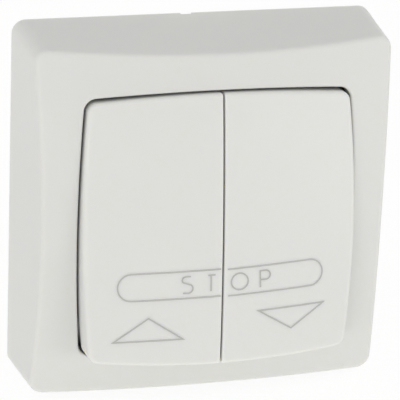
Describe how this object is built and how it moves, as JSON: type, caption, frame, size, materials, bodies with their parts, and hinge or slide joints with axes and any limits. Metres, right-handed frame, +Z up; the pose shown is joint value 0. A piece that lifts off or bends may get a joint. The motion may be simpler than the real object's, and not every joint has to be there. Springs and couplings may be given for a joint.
{
  "type": "roller shutter switch",
  "caption": "Surface mounted roller shutter switch with an up key and a down key that rock on one pin, a domed cover, a back box and the contacts inside.",
  "frame": {"origin": "on the wall, midway between the two wall fixing slots, at the middle of the back", "axes": "+Z up, +X to the right seen from the front, -Y out of the wall towards the user"},
  "size_m": [0.08, 0.0318, 0.08],
  "materials": {
    "cover_plastic": "fine matt moulded, off-white",
    "key_plastic": "fine matt moulded, off-white",
    "box_plastic": "moulded, off-white",
    "yoke_steel": "zinc plated sheet",
    "screw_steel": "zinc plated",
    "housing_plastic": "moulded, grey",
    "mechanism_cover_plastic": "moulded, light grey",
    "rivet_brass": "plain",
    "pin_steel": "ground",
    "terminal_brass": "stamped",
    "contact_silver": "silver faced",
    "clamp_steel": "zinc plated",
    "lever_plastic": "moulded, light grey",
    "plunger_plastic": "moulded, natural",
    "bridge_copper": "stamped",
    "spring_steel": "spring wire"
  },
  "bodies": {
    "base": {"cover_frame": "cover_plastic", "back_box": "box_plastic", "support_frame": "yoke_steel", "support_screws": "screw_steel", "mechanism_housing": "housing_plastic", "mechanism_cover": "mechanism_cover_plastic", "housing_rivets": "rivet_brass", "pivot_pin": "pin_steel", "common_terminal": "terminal_brass", "up_terminal": "terminal_brass", "down_terminal": "terminal_brass", "fixed_contacts": "contact_silver", "line_clamp": "clamp_steel", "up_clamp": "clamp_steel", "down_clamp": "clamp_steel", "terminal_screws": "screw_steel", "up_return_spring": "spring_steel", "down_return_spring": "spring_steel"},
    "up_rocker": {"up_key": "key_plastic", "up_lever": "lever_plastic"},
    "up_contact": {"up_plunger": "plunger_plastic", "up_bridge": "bridge_copper", "up_bridge_contacts": "contact_silver"},
    "down_rocker": {"down_key": "key_plastic", "down_lever": "lever_plastic"},
    "down_contact": {"down_plunger": "plunger_plastic", "down_bridge": "bridge_copper", "down_bridge_contacts": "contact_silver"}
  },
  "joints": [
    {"name": "up_key_tilt", "type": "hinge", "parent": "base", "child": "up_rocker", "pos_m": [0, -0.019, 0], "axis": [1, 0, 0], "range_deg": [0, 6.5], "stiffness_Nm_per_rad": 0.6, "springref_deg": -2.86},
    {"name": "down_key_tilt", "type": "hinge", "parent": "base", "child": "down_rocker", "pos_m": [0, -0.019, 0], "axis": [1, 0, 0], "range_deg": [0, 6.5], "stiffness_Nm_per_rad": 0.6, "springref_deg": -2.86},
    {"name": "up_contact_slide", "type": "slide", "parent": "base", "child": "up_contact", "axis": [0, 1, 0], "range_m": [0, 0.00137], "deforming": ["up_return_spring"]},
    {"name": "down_contact_slide", "type": "slide", "parent": "base", "child": "down_contact", "axis": [0, 1, 0], "range_m": [0, 0.00137], "deforming": ["down_return_spring"]}
  ],
  "couplings": [
    {"joint": "up_contact_slide", "follows": "up_key_tilt", "m_per_rad": 0.011974},
    {"joint": "down_contact_slide", "follows": "down_key_tilt", "m_per_rad": 0.011974}
  ]
}
